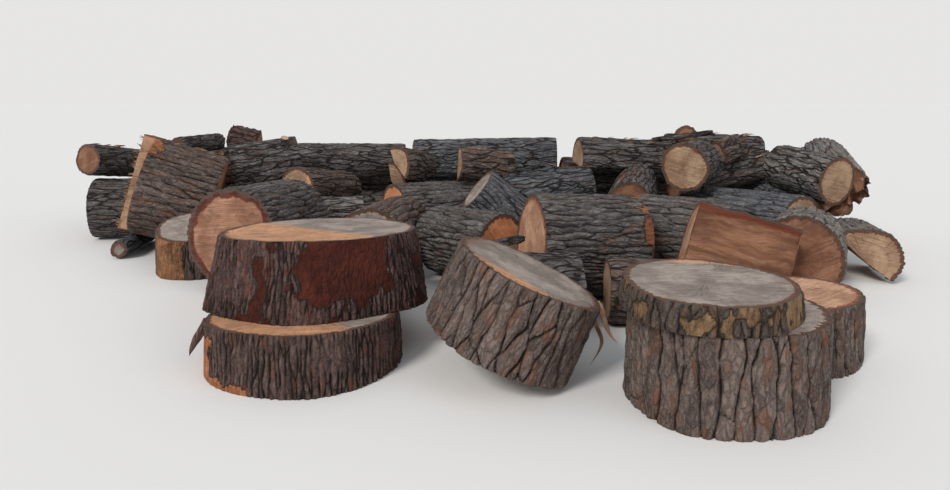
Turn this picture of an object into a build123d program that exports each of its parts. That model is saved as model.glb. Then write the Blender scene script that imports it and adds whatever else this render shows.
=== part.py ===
from build123d import *
import math
import os
import random
from dataclasses import dataclass

import numpy as np
from scipy.optimize import linprog

# A heap of sawn tree trunks: wide rounds stand and lean along its front, logs of several
# lengths lie behind them, and smaller and split pieces rest on top.
# Lengths are in millimetres, angles in degrees. +X runs along the heap, +Y to its back, +Z up.

# Driving dimensions
trunk_diameter = 920          # the widest straight trunk, bark included
round_length = 450            # distance between the two saw cuts of the front right round
slab_length = 125             # the offcut on top of it
butt_diameter = 1200          # the flared foot of the same tree
butt_length = 410
low_round_diameter = 1100     # the round under the butt
low_round_length = 270
leaning_diameter = 830        # the round that leans in the middle of the front
leaning_length = 420
felled_diameter = 950         # the log with the felling cut, at the back left
barrel_diameter = 750         # the big log behind the leaning round
barrel_length = 760
pole_diameter = 470           # the long logs along the back
pole_length = 1500
taper = 0.96                  # diameter of a thin end as a share of the thick end
lobe_depth = {2: 0.034, 3: 0.020, 5: 0.012}   # how far a trunk leaves a true circle, by number of lobes
root_lobes = 5                # swellings round a flared foot, where the roots began
root_flare = 0.09             # how far they widen the foot, as a share of its radius
stub_reach = 45               # how far a cut branch stands out of the bark
hinge_thickness = 42          # the strip that the felled tree broke over
hinge_height = 120            # it stands this far out of the felling cut
notch_height = 55             # and this far out of the notch at its other side
notch_slope = 22              # slope of the notch, down from the strip
second_cut_slope = 16         # the grey end was sawn from two sides that don't quite meet
second_cut_place = 0.14       # the two cuts meet this share of the diameter beside the pith
outside_share = 0.7           # cuts are drawn out to this share of the diameter, clear of the bark
tooth_depth = 170             # splinters of the broken stump
tooth_width = 150
seat_gap = 0.2                # left between pieces that rest on each other
slide_limit = 160             # how far a dropped piece may slide sideways into a hollow
rock_limit = 9                # and how far it may tip there

# How finely outlines are drawn and where pieces touch is found
bark_facet = 44               # width of the flats that make up the bark
stub_sides = 12
search_points = 16
search_reach = 1800           # a dropped piece looks this far round for its seats
slide_steps = (60, 6)         # first and last step of its search sideways
rise_step_first = 6           # and the first step of its search for a slope
approach = 12000              # a piece is brought in from this far off


@dataclass
class Log:
    """One sawn or split piece of trunk, along its own Z axis with its thick end at the origin."""
    name: str
    diameter: float
    length: float
    x: float                  # the middle of the piece, seen from above
    y: float
    heading: float = 0        # bearing of the thin end, from +X towards +Y
    rise: float = 0           # slope of the axis up to the thin end; 90 stands upright
    roll: float = 0           # turn about its own axis
    push: tuple = ()          # bearings in which a piece on the ground is pushed home, in turn
    dropped: bool = False     # rests on the pieces under it, and slides into the nearest hollow
    fixed_rise: bool = False  # keeps its slope while it is dropped
    taper: float = taper
    foot_cut: tuple = (0, 0)  # slope of the saw cut at the thick end, and the angle it climbs to
    head_cut: tuple = (0, 0)
    split: tuple = None       # angles between which a split piece keeps its bark
    stubs: tuple = ()         # cut branches: height up the log, angle round it, diameter
    flare: float = 0          # widening of the foot by its root swellings
    notches: tuple = ()       # cuts into the thick end: angle across it, outline as (across, deep) points


def standing(name, diameter, length, x, y, **shape):
    """A round that stands on its thick end."""
    return Log(name, diameter, length, x, y, rise=90, **shape)


def resting(name, diameter, length, x, y, heading, rise=0, **shape):
    """A log that lies on top of the pieces under it."""
    return Log(name, diameter, length, x, y, heading, rise, dropped=True, **shape)


def felling_cut(diameter):
    """The two cuts that leave a broken strip standing across the foot of a felled tree."""
    edge, outside = hinge_thickness / 2, diameter * outside_share
    notch_end = notch_height + (outside - edge) * math.tan(math.radians(notch_slope))
    felling = ((edge, -outside), (outside, -outside), (outside, hinge_height), (edge, hinge_height))
    notch = ((-edge, -outside), (-edge, notch_height), (-outside, notch_end), (-outside, -outside))
    return (90, felling), (90, notch)


def broken_end(diameter):
    """Splinters: grooves of several depths that cross a broken end at several angles."""
    grooves = []
    for turn, place, share in ((15, -0.30, 0.7), (60, 0.10, 1.0), (110, -0.16, 0.55), (140, 0.26, 0.9), (85, 0.38, 0.6)):
        middle, half = place * diameter, tooth_width / 2
        groove = ((middle - half, -half), (middle + half, -half), (middle + half * 0.3, tooth_depth * share))
        grooves.append((turn, groove))
    return tuple(grooves)


def second_cut(diameter):
    """A saw cut from the other side, which leaves a slanted flat beside the first."""
    start, outside = diameter * second_cut_place, diameter * outside_share
    deep = (outside - start) * math.tan(math.radians(second_cut_slope))
    return ((-90, ((start, 0), (start, -outside), (outside, -outside), (outside, deep))),)


# Bearings in which the pieces on the ground are pushed home
back = 90
front = -90
left = 180
right = 0
front_left = -135

# The heap, in the order in which it is stacked. Each group is one node.
heap = {
    "front_right_round": [
        standing("front_right", trunk_diameter, round_length, 1180, 3090, taper=0.98),
    ],
    "low_left_round": [
        standing("low_left", low_round_diameter, low_round_length, -930, 3600, head_cut=(4, 90),
                 taper=0.97),
    ],
    "right_end_round": [
        standing("right_end", 720, 360, 1880, 3640, push=(left,), head_cut=(2, 180)),
    ],
    "butt_round": [
        Log("butt", butt_diameter, butt_length, -900, 3900, 90, 86, dropped=True,
            fixed_rise=True, taper=0.93, flare=root_flare),
    ],
    "front_right_slab": [
        Log("slab", 880, slab_length, 1090, 3100, rise=90, dropped=True, fixed_rise=True),
    ],
    "hidden_logs": [
        Log("hidden_2", 440, 700, 1180, 3900, -4, push=(front,)),
        Log("hidden_3", 420, 900, -850, 4700, 0.5, push=(front,)),
    ],
    "split_half_log": [
        Log("split_half", 660, 660, 1720, 4300, -12, -14, push=(front,), split=(170, 350)),
    ],
    "flaky_log": [
        Log("flaky", 620, 600, 2350, 4450, 60, push=(front, left, front)),
    ],
    "barrel_log": [
        Log("barrel", barrel_diameter, barrel_length, 760, 4900, 10, roll=30, push=(front,),
            foot_cut=(3, 0)),
    ],
    "leaning_rest_log": [
        Log("leaning_rest", 480, 760, 260, 3900, 6, push=(back,)),
    ],
    "leaning_round": [
        Log("leaning", leaning_diameter, leaning_length, 190, 3290, 0, 66, taper=0.97, push=(back,)),
    ],
    "right_neighbour_log": [
        Log("neighbour", 700, 640, 1560, 4850, -15, roll=70, push=(front, left, front, left)),
    ],
    "front_facing_log": [
        Log("facing", 580, 700, -240, 4850, 135, roll=20, push=(front, right, front)),
    ],
    "grey_end_log": [
        Log("grey_end", 600, 800, -800, 5350, 78, push=(front, right, front_left), notches=second_cut(600)),
    ],
    "red_rimmed_log": [
        Log("red_rimmed", 780, 820, -1620, 5600, 74, roll=10, push=(front, right),
            foot_cut=(4, 0)),
    ],
    "small_left_round": [
        standing("small_left", 680, 370, -2520, 5450, push=(right,), head_cut=(12, 270)),
    ],
    "felled_log": [
        Log("felled", felled_diameter, 740, -2750, 6250, 14, -18, push=(front, right),
            notches=felling_cut(felled_diameter)),
    ],
    "pale_end_log": [
        Log("pale_end", 660, 860, 2350, 5500, 125, push=(front,)),
    ],
    "tan_split_log": [
        Log("tan_split", 560, 600, 2950, 5350, 75, push=(left, front), split=(-50, 130)),
    ],
    "sunlit_end_log": [
        Log("sunlit", 640, 860, -350, 6150, 30, roll=120, push=(front,)),
    ],
    "ground_logs_middle": [
        Log("ground_middle_1", 420, 900, 600, 5500, -3, push=(front,)),
        Log("ground_middle_2", 420, 700, 1550, 5550, 8, push=(front,)),
        Log("ground_middle_3", 420, 900, 750, 6000, 3, push=(front,)),
        Log("ground_middle_4", 440, 900, 1600, 6000, 6, push=(front,)),
    ],
    "ground_logs_left": [
        Log("prop", 180, 700, -3500, 6150, 95, push=(right,)),
        Log("ground_left_2", 600, 1000, -3300, 7300, 10, push=(front,)),
        Log("ground_left_3", 560, 800, -2280, 7000, 5, push=(front,)),
        Log("ground_left_4", 540, 800, -1400, 6650, 12, push=(front,)),
    ],
    "ground_logs_right": [
        Log("ground_right_1", 560, 900, 2900, 5500, 80, push=(front, left)),
        Log("ground_right_2", 560, 1000, -250, 6750, 5, push=(front,)),
        Log("ground_right_3", 560, 1000, 900, 6600, 4, push=(front,)),
        Log("ground_right_4", 500, 900, 2000, 6550, 4, push=(front,)),
        Log("ground_right_5", 560, 1000, 3100, 6500, -12, push=(front,)),
    ],
    "ground_logs_back": [
        Log("ground_back_1", 540, 1200, -1450, 7300, 2, push=(front,)),
        Log("ground_back_2", 540, 1200, -100, 7300, 3, push=(front,)),
        Log("ground_back_3", 540, 1200, 1250, 7200, -4, push=(front,)),
        Log("ground_back_4", 560, 1100, 2600, 7200, 8, push=(front,)),
    ],
    "ground_logs_far": [
        Log("ground_far_1", 500, pole_length, -2300, 7900, 2, push=(front,)),
        Log("ground_far_2", 500, pole_length, -600, 7900, -2, push=(front,)),
        Log("ground_far_3", 500, pole_length, 1150, 7900, 2, push=(front,)),
    ],
    "back_ridge_logs": [
        resting("ridge_1", 460, pole_length, -1500, 7250, 4),
        resting("ridge_2", pole_diameter, pole_length, 100, 7050, -3),
        resting("ridge_3", 420, 1200, 1500, 7050, 5),
    ],
    "tilted_log": [
        resting("tilted", 430, 560, 230, 5560, 188, 40, fixed_rise=True),
    ],
    "stub_log": [
        resting("stub", 400, 800, 650, 6350, 8, stubs=((420, 0, 90),)),
    ],
    "tan_end_log": [
        resting("tan_end", 440, 640, 2080, 5950, 60),
    ],
    "dark_end_log": [
        resting("dark_end", 420, 600, 1450, 5750, 70),
    ],
    "rounded_end_log": [
        resting("rounded_end", 460, 700, -1350, 6450, 60),
    ],
    "short_upper_log": [
        resting("short_upper", 520, 640, -2100, 6800, 20, 8, stubs=((480, 30, 70),)),
    ],
    "broken_stump": [
        resting("broken", 560, 640, 3250, 6500, 80, 10, notches=broken_end(560)),
    ],
    "mossy_log": [
        resting("mossy", 420, 620, 2850, 5750, 110),
    ],
    "stringy_logs": [
        resting("stringy_1", 340, 1100, 2500, 6600, 14),
        resting("stringy_2", 320, 1000, 2500, 7050, 5),
        resting("stringy_3", 340, 900, -3500, 7000, 70),
    ],
    "upper_left_logs": [
        resting("upper_left_1", 320, 800, -2950, 7000, 10),
        resting("upper_left_2", 300, 800, -2900, 7400, 20, stubs=((500, 60, 60),)),
        resting("upper_left_3", 220, 600, -3050, 7200, 70, 10),
    ],
    "upper_left_splits": [
        resting("left_split_1", 360, 420, -2500, 7050, 30, split=(0, 120)),
        resting("left_split_2", 380, 400, -2250, 7250, -30, split=(20, 130)),
        resting("left_split_3", 340, 380, -2450, 7450, 70, split=(0, 180)),
    ],
    "upper_middle_splits": [
        resting("middle_split_1", 400, 480, -850, 6700, 65, split=(0, 150)),
        resting("middle_split_2", 380, 460, -500, 6350, 60, split=(-30, 140)),
        resting("middle_split_3", 360, 520, 100, 6300, 20, split=(0, 170)),
    ],
    "ridge_slab": [
        resting("ridge_slab", 560, 900, 1450, 6650, 4, split=(-90, 90)),
    ],
    "small_round_log": [
        resting("small_round", 240, 500, 1900, 6700, 75),
    ],
    "quarter_split": [
        resting("quarter", 380, 420, 2350, 6850, 40, split=(10, 110)),
    ],
    "thin_branches": [
        resting("branch_1", 80, 620, 60, 4080, 50, 4),
        resting("branch_2", 90, 700, -1000, 6900, 20),
        resting("branch_3", 70, 560, 1900, 6300, 150),
    ],
}


def outline_radius(log, angle):
    """Distance from the pith to the bark at one angle, at the thick end."""
    shape = random.Random(log.name)
    lobes = 0
    for count, depth in lobe_depth.items():
        lobes += depth * math.cos(count * angle + shape.uniform(0, 2 * math.pi))
    return log.diameter / 2 * (1 + lobes)


def foot_radius(log, angle):
    """The same with the root swellings of a flared foot."""
    return outline_radius(log, angle) * (1 + log.flare * (1 + math.cos(root_lobes * angle)) / 2)


def outline_points(log):
    """Number of points that draw the bark of a saw cut."""
    share = 1 if log.split is None else (log.split[1] - log.split[0]) / 360
    return max(12, round(math.pi * log.diameter * share / bark_facet))


def bark_angles(log, count):
    """Evenly spaced angles along the bark, in radians."""
    if log.split is None:
        return [2 * math.pi * step / count for step in range(count)]
    first, last = (math.radians(angle) for angle in log.split)
    return [first + (last - first) * step / (count - 1) for step in range(count)]


def end_cut(log, thin_end):
    """Height of a saw cut on the axis, and its slopes along X and Y."""
    slope, towards = log.head_cut if thin_end else log.foot_cut
    steepness = math.tan(math.radians(slope))
    towards = math.radians(towards)
    height = log.length if thin_end else 0
    return height, steepness * math.cos(towards), steepness * math.sin(towards)


def rim(log, thin_end, count):
    """Points where the tapered bark meets a saw cut, in the log's own frame."""
    height, slope_x, slope_y = end_cut(log, thin_end)
    points = []
    for angle in bark_angles(log, count):
        foot = foot_radius(log, angle)
        widening = (outline_radius(log, angle) * log.taper - foot) / log.length
        slope = slope_x * math.cos(angle) + slope_y * math.sin(angle)
        out = (foot + widening * height) / (1 - widening * slope)
        points.append((out * math.cos(angle), out * math.sin(angle), height + out * slope))
    return points


def outer_points(log, count):
    """Points whose hull just holds the log, in its own frame: the body, then each stub."""
    body = rim(log, False, count) + rim(log, True, count)
    if log.split is not None:
        body += [(0, 0, 0), (0, 0, log.length)]
    hulls = [np.array(body)]
    for stub in log.stubs:
        frame, reach = stub_frame(log, stub)
        ring = [frame.from_local_coords((u, v, z)) for z in (0, reach) for u, v in stub_outline(stub)]
        hulls.append(np.array([tuple(point) for point in ring]))
    return hulls


def stub_outline(stub):
    """Outline of a cut branch, on the plane that it grows from."""
    angles = [2 * math.pi * step / stub_sides for step in range(stub_sides)]
    return [(stub[2] / 2 * math.cos(angle), stub[2] / 2 * math.sin(angle)) for angle in angles]


def stub_frame(log, stub):
    """Plane inside the log from which a cut branch grows, and how long the branch is."""
    height, angle, diameter = stub
    angle = math.radians(angle)
    radius = outline_radius(log, angle)
    outward = Vector(math.cos(angle), math.sin(angle), 0.3).normalized()
    start = Vector(math.cos(angle), math.sin(angle), 0) * (radius * 0.5) + Vector(0, 0, height)
    return Plane(start, z_dir=outward), radius * 0.5 + stub_reach


def axis_frame(log, rise):
    """The log's own frame turned to its heading, rise and roll, at the origin."""
    heading, rise, roll = (math.radians(angle) for angle in (log.heading, rise, log.roll))
    level = Vector(math.cos(heading), math.sin(heading), 0)
    axis = level * math.cos(rise) + Vector(0, 0, 1) * math.sin(rise)
    up = Vector(0, 0, 1) * math.cos(rise) - level * math.sin(rise)
    return Plane((0, 0, 0), x_dir=up * math.cos(roll) + axis.cross(up) * math.sin(roll), z_dir=axis)


def turned(log, rise, hulls):
    """The log's points turned to its bearing, with the middle of its axis at the origin."""
    frame = axis_frame(log, rise)
    basis = np.array([tuple(frame.x_dir), tuple(frame.y_dir), tuple(frame.z_dir)])
    middle = np.array((0, 0, log.length / 2))
    return [(points - middle) @ basis for points in hulls]


def level_rise(log):
    """Slope at which a tapered log lies with its lowest line flat on the ground."""
    count = outline_points(log)
    body = turned(log, 0, outer_points(log, count))[0]
    thick, thin = body[:count], body[count:2 * count]
    return -math.degrees(math.atan((thin[:, 2].min() - thick[:, 2].min()) / log.length))


def first_contact(moving, standing_points, direction):
    """How far one hull travels before it touches another, and how fast the gap then opens."""
    count, others = len(moving), len(standing_points)
    balance = np.zeros((5, count + others + 1))
    balance[:3, :count] = moving.T / 1000
    balance[:3, count:-1] = -standing_points.T / 1000
    balance[:3, -1] = direction
    balance[3, :count] = 1
    balance[4, count:-1] = 1
    cost = np.zeros(count + others + 1)
    cost[-1] = 1
    found = linprog(cost, A_eq=balance, b_eq=[0, 0, 0, 1, 1], method="highs")
    if not found.success:
        return None
    normal = found.eqlin.marginals[:3]
    return found.fun * 1000, float(np.linalg.norm(normal))


def travel(hulls, placed, direction):
    """How far a piece moves along a direction until its first seat, less the seat's gap."""
    direction = np.array(direction, dtype=float)
    side = np.array((-direction[1], direction[0], 0)) if abs(direction[2]) < 0.5 else np.array((1.0, 0, 0))
    across = np.cross(direction, side)
    best = None
    candidates = []
    for hull in hulls:
        for other in placed:
            apart = False
            for axis in (side, across):
                mine, theirs = hull @ axis, other @ axis
                if mine.min() > theirs.max() or theirs.min() > mine.max():
                    apart = True
            if not apart:
                least = (other @ direction).min() - (hull @ direction).max()
                candidates.append((least, hull, other))
    for least, hull, other in sorted(candidates, key=lambda candidate: candidate[0]):
        if best is not None and least > best:
            break
        contact = first_contact(hull, other, direction)
        if contact is not None:
            distance = contact[0] - seat_gap * contact[1]
            if best is None or distance < best:
                best = distance
    return best


def drop(log, rise, x, y, points, placed):
    """Height at which the middle of a dropped log comes to rest."""
    start = np.array((x, y, approach))
    hulls = [points_set + start for points_set in turned(log, rise, points)]
    lowest = min(hull[:, 2].min() for hull in hulls)
    fall = travel(hulls, placed, (0, 0, -1))
    return approach - min(lowest, lowest if fall is None else fall)


def settle(log, placed):
    """Let a dropped log slide sideways and rock until it can sink no further."""
    points = outer_points(log, search_points)
    near = [hull for hull in placed if np.hypot(*(hull.mean(axis=0)[:2] - (log.x, log.y))) < search_reach]
    coarse = [hull[::max(1, len(hull) // (2 * search_points))] for hull in near]
    heading = math.radians(log.heading)
    side = (-math.sin(heading), math.cos(heading))
    slide, rise = 0.0, float(log.rise)
    slide_step, rise_step = slide_steps[0], rise_step_first

    def height(slide, rise):
        return drop(log, rise, log.x + slide * side[0], log.y + slide * side[1], points, coarse)

    best = height(slide, rise)
    while slide_step > slide_steps[1]:
        moved = False
        for try_slide, try_rise in ((slide_step, 0), (-slide_step, 0), (0, rise_step), (0, -rise_step)):
            if abs(slide + try_slide) > slide_limit or abs(rise + try_rise - log.rise) > rock_limit:
                continue
            here = height(slide + try_slide, rise + try_rise)
            if here < best - 0.5:
                best, slide, rise, moved = here, slide + try_slide, rise + try_rise, True
        if not moved:
            slide_step /= 2
            rise_step /= 2
    return log.x + slide * side[0], log.y + slide * side[1], rise


def seat(log, placed):
    """Find where a log comes to rest: its slope, and the place of its middle."""
    points = outer_points(log, outline_points(log))
    if log.dropped:
        x, y, rise = (log.x, log.y, log.rise) if log.fixed_rise else settle(log, placed)
        middle = np.array((x, y, drop(log, rise, x, y, points, placed)))
    else:
        rise = level_rise(log) if log.rise == 0 else log.rise
        hulls = turned(log, rise, points)
        middle = np.array((log.x, log.y, -min(hull[:, 2].min() for hull in hulls)))
        start = approach
        for bearing in (math.radians(bearing) for bearing in log.push):
            direction = np.array((math.cos(bearing), math.sin(bearing), 0))
            middle = middle - start * direction
            found = travel([hull + middle for hull in hulls], placed, direction)
            middle = middle + direction * (start if found is None else found)
            start = 0
    for hull in turned(log, rise, points):
        placed.append(hull + middle)
    frame = axis_frame(log, rise)
    origin = Vector(*middle) - frame.z_dir * (log.length / 2)
    return Plane(origin, x_dir=frame.x_dir, z_dir=frame.z_dir)


def cut_plane(log, thin_end):
    """Plane of a saw cut, in the log's own frame."""
    height, slope_x, slope_y = end_cut(log, thin_end)
    return Plane((0, 0, height), x_dir=(1, 0, slope_x), z_dir=(-slope_x, -slope_y, 1))


def cut_outline(log, thin_end):
    """Outline of a saw cut, on its own plane: the bark's points, and the split's corner if it has one."""
    cut = cut_plane(log, thin_end)
    edge = [cut.to_local_coords(Vector(*point)) for point in rim(log, thin_end, outline_points(log))]
    return [(point.X, point.Y) for point in edge]


def notch_plane(log, turn):
    """Plane through the pith in which a notch is drawn: across the thick end, and into the log."""
    across = Vector(math.cos(math.radians(turn)), math.sin(math.radians(turn)), 0)
    return Plane((0, 0, 0), x_dir=across, z_dir=across.cross(Vector(0, 0, 1)))


def build_logs(logs, places):
    """Loft each log between its two saw cuts, add its cut branches, and cut its notches."""
    with BuildPart() as group:
        for log, place in zip(logs, places):
            for thin_end in (False, True):
                edge = cut_outline(log, thin_end)
                with BuildSketch(Plane(place.location * cut_plane(log, thin_end).location)):
                    with BuildLine():
                        if log.split is not None and log.split[1] - log.split[0] != 180:
                            edge.append((0, 0))
                        Polyline(*edge, close=True)
                    make_face()
            loft(ruled=True)
            for stub in log.stubs:
                frame, reach = stub_frame(log, stub)
                with BuildSketch(Plane(place.location * frame.location)):
                    Polygon(*stub_outline(stub), align=None)
                extrude(amount=reach)
            for turn, outline in log.notches:
                with BuildSketch(Plane(place.location * notch_plane(log, turn).location)):
                    with BuildLine():
                        Polyline(*outline, close=True)
                    make_face()
                extrude(amount=log.diameter, both=True, mode=Mode.SUBTRACT)
    return group.part


os.makedirs("parts", exist_ok=True)

placed = []
seats = {}
for logs in heap.values():
    for log in logs:
        seats[log.name] = seat(log, placed)

# The origin goes under the middle of the heap, on the ground
corners = np.concatenate(placed)
low, high = corners.min(axis=0), corners.max(axis=0)
shift = Vector(-(low[0] + high[0]) / 2, -(low[1] + high[1]) / 2, -low[2])

for node, logs in heap.items():
    places = []
    for log in logs:
        place = seats[log.name]
        places.append(Plane(place.origin + shift, x_dir=place.x_dir, z_dir=place.z_dir))
    piece = build_logs(logs, places)
    piece.label = node
    export_step(piece, f"parts/{node}.step")
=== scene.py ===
import math

import bpy
import numpy as np
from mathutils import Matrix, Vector
from mathutils.bvhtree import BVHTree


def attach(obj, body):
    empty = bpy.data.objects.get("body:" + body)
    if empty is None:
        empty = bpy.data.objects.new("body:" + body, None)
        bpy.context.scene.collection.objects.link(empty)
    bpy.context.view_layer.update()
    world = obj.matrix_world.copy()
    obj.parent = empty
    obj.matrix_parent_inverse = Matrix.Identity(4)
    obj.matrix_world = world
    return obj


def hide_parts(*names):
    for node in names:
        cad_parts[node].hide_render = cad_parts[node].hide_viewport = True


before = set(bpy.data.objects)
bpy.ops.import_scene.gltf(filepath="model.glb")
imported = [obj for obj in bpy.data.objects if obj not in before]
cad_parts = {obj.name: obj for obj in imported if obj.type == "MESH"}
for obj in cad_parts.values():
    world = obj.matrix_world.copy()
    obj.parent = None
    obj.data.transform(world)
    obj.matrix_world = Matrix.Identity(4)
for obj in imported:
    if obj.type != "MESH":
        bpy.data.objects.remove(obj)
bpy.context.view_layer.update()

# Lengths are in metres. A log's own frame has its pith along Z, thick end at the origin.
# Angle 0 round a standing round is its front and 90 its right; round a lying log 0 is its top.
FULL_TURN = 2 * math.pi
GRID = {"near": 0.006, "middle": 0.01, "far": 0.017}  # spacing of points round the bark
LENGTHWISE = 2.0  # and along it, as a multiple of that

# Each noise: a salt of its own, its layers, and its size across and along the grain
NOISES = {
    "sway": (11, 3, 0.17, 0.26),  # broad wander of the furrows
    "shiver": (12, 1, 0.035, 0.06),  # and fine wander
    "drift": (13, 1, 0.12, 0.3),  # wander of the plates' ends
    "fading": (15, 3, 0.1, 0.17),  # where furrows fade
    "ragged": (60, 3, 0.014, 0.028),  # broken edges of the scales
    "border": (80, 3, 0.05, 0.08),  # border of the bare patches
    "spots": (90, 3, 0.1, 0.13),  # scattered bare patches
    "fibres": (95, 3, 0.02, 0.16),  # fibres of the inner bark
    "tear": (21, 3, 1.0, 1.0),  # torn edges of split pieces
    "dents": (32, 3, 0.1, 0.1),  # dents in a sawn end
    "warm": (61, 3, 0.12, 1.0),  # border of its painted sunlit side
    "stained": (62, 3, 0.12, 1.0),  # and of its stained side
    "strands": (51, 3, 0.022, 0.35),  # fibres of split wood
    "ridges": (52, 3, 0.06, 0.5),  # its ridges
    "swell": (53, 3, 0.13, 0.5),  # and its hollows
    "stub": (71, 3, 0.02, 0.02),  # bark of a cut branch
}


# Repeatable noise on numpy arrays

def scramble(cell, salt):
    """A random number from 0 to 1 for each lattice cell."""
    x, y, z = (cell[..., k].astype(np.int64) for k in range(3))
    n = (x * 73856093) ^ (y * 19349663) ^ (z * 83492791) ^ (int(salt) * 40503 + 977)
    for drop, factor in ((13, 1274126177), (15, 668265263)):
        n = (n ^ (n >> drop)) & 0x7FFFFFFF
        n = (n * factor) & 0x7FFFFFFF
    return ((n ^ (n >> 16)) & 0xFFFFF) / 0xFFFFF


def smooth(t):
    t = np.clip(t, 0, 1)
    return t * t * (3 - 2 * t)


def noise(points, salt):
    """Smooth noise from 0 to 1, one bump per unit."""
    base = np.floor(points)
    part = smooth(points - base)
    total = np.zeros(points.shape[:-1])
    for corner in np.ndindex(2, 2, 2):
        weight = np.ones(points.shape[:-1])
        for k, upper in enumerate(corner):
            weight = weight * (part[..., k] if upper else 1 - part[..., k])
        total += weight * scramble(base + corner, salt)
    return total


def layered(points, salt, octaves=3):
    """Noise with finer noise on it, from 0 to 1."""
    total = sum(noise(points * 2.1 ** k, salt + 17 * k) / 2 ** k for k in range(octaves))
    return total / (2 - 2 ** (1 - octaves))


def bumps(name, points, salt):
    """One of the noises listed above, from 0 to 1."""
    own_salt, layers, across, along = NOISES[name]
    return layered(points / (across, across, along), salt + own_salt, layers)


def plates(around, along, girth, width, tall, salt):
    """Irregular plates on an unrolled bark: distance to the nearest furrow, how much that furrow
    runs lengthwise, and a tone for each plate."""
    columns = max(4, int(round(girth / width)))
    width = girth / columns
    u, v = around / width, along / tall
    found = []
    for du in (-1, 0, 1):
        for dv in (-1, 0, 1):
            column, row = np.floor(u) + du, np.floor(v) + dv
            cell = np.stack([column % columns, row, np.zeros_like(row)], axis=-1)
            seed_u = column + 0.15 + 0.7 * scramble(cell, salt)
            seed_v = row + scramble(cell, salt + 1)
            away = (u - seed_u) ** 2 + (v - seed_v) ** 2
            found.append((seed_u, seed_v, away, scramble(cell, salt + 2)))
    seed_u, seed_v, distance, tone = (np.stack(part) for part in zip(*found))
    nearest = distance.argmin(axis=0)[None]
    own_u, own_v, own, own_tone = (np.take_along_axis(part, nearest, 0)
                                   for part in (seed_u, seed_v, distance, tone))
    slope_u, slope_v = 2 * (own_u - seed_u) / width, 2 * (own_v - seed_v) / tall
    steep = np.hypot(slope_u, slope_v)
    gap = np.where(steep > 1e-6, (distance - own) / np.maximum(steep, 1e-6), 9.0)
    side = gap.argmin(axis=0)[None]
    lengthwise = np.abs(np.take_along_axis(slope_u, side, 0)) / np.take_along_axis(steep, side, 0)
    return np.take_along_axis(gap, side, 0)[0], lengthwise[0], own_tone[0]


# The logs, read from the CAD nodes

def solids_of(obj):
    """The separate solids of a CAD node, as points and triangles, from left to right."""
    mesh = obj.data
    mesh.calc_loop_triangles()
    points = np.empty(len(mesh.vertices) * 3)
    mesh.vertices.foreach_get("co", points)
    triangles = np.empty(len(mesh.loop_triangles) * 3, dtype=np.int32)
    mesh.loop_triangles.foreach_get("vertices", triangles)
    points, same = np.unique(np.round(points.reshape(-1, 3), 5), axis=0, return_inverse=True)
    triangles = same.reshape(-1)[triangles].reshape(-1, 3)
    label = np.arange(len(points))
    while True:
        lower = label.copy()
        for k in range(3):
            np.minimum.at(lower, triangles[:, k], label[triangles].min(axis=1))
        lower = lower[lower]
        if (lower == label).all():
            break
        label = lower
    found = []
    for value in np.unique(label[triangles[:, 0]]):
        mine = triangles[label[triangles[:, 0]] == value]
        used, index = np.unique(mine, return_inverse=True)
        found.append((points[used], index.reshape(-1, 3)))
    return sorted(found, key=lambda solid: solid[0][:, 0].mean())


def flat_faces(triangles, normals):
    """Groups of adjoining triangles that lie in one plane."""
    edges = {}
    for index, triangle in enumerate(triangles):
        for k in range(3):
            edge = tuple(sorted((int(triangle[k]), int(triangle[(k + 1) % 3]))))
            edges.setdefault(edge, []).append(index)
    parent = list(range(len(triangles)))

    def root(i):
        while parent[i] != i:
            parent[i] = parent[parent[i]]
            i = parent[i]
        return i

    for pair in edges.values():
        if len(pair) == 2 and normals[pair[0]] @ normals[pair[1]] > 0.99995:
            parent[root(pair[0])] = root(pair[1])
    groups = {}
    for index in range(len(triangles)):
        groups.setdefault(root(index), []).append(index)
    return [np.array(group) for group in groups.values()]


def outline_edges(triangles):
    """The edges round a group of triangles, without those inside it."""
    sides = [triangles[:, (0, 1)], triangles[:, (1, 2)], triangles[:, (2, 0)]]
    pairs, count = np.unique(np.sort(np.concatenate(sides), axis=1), axis=0, return_counts=True)
    return pairs[count == 1]


def pith_direction(points, triangles, areas, faces):
    """The way a log runs: the way of its slender faces' longest sides."""
    total = np.zeros((3, 3))
    for face in faces:
        rim = points[outline_edges(triangles[face])]
        sides = rim[:, 1] - rim[:, 0]
        if len(sides) < ROUND_CORNERS:
            lengths = np.linalg.norm(sides, axis=1)
            longest = sides[lengths.argmax()] / lengths.max()
            slender = 1 - lengths.min() / lengths.max()
            total += np.outer(longest, longest) * areas[face].sum() * slender ** 4
    return np.linalg.eigh(total)[1][:, 2]


def circle_centre(flat):
    """Centre of the circle that best fits points in a plane."""
    rows = np.column_stack([2 * flat, np.ones(len(flat))])
    return np.linalg.lstsq(rows, (flat ** 2).sum(axis=1), rcond=None)[0][:2]


BARK, SPLIT, CUT = 1, 2, 3
ROUND_CORNERS = 10  # a face with this many corners is no flat of the bark
BARK_FLAT = 0.08  # the bark's flats are narrower than this
STUB_WIDTH, STUB_HEIGHT = 0.12, 0.15  # and a cut branch's end than these
SIDEWAYS = 0.6  # the normal of a log's side has less than this along the pith


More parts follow.
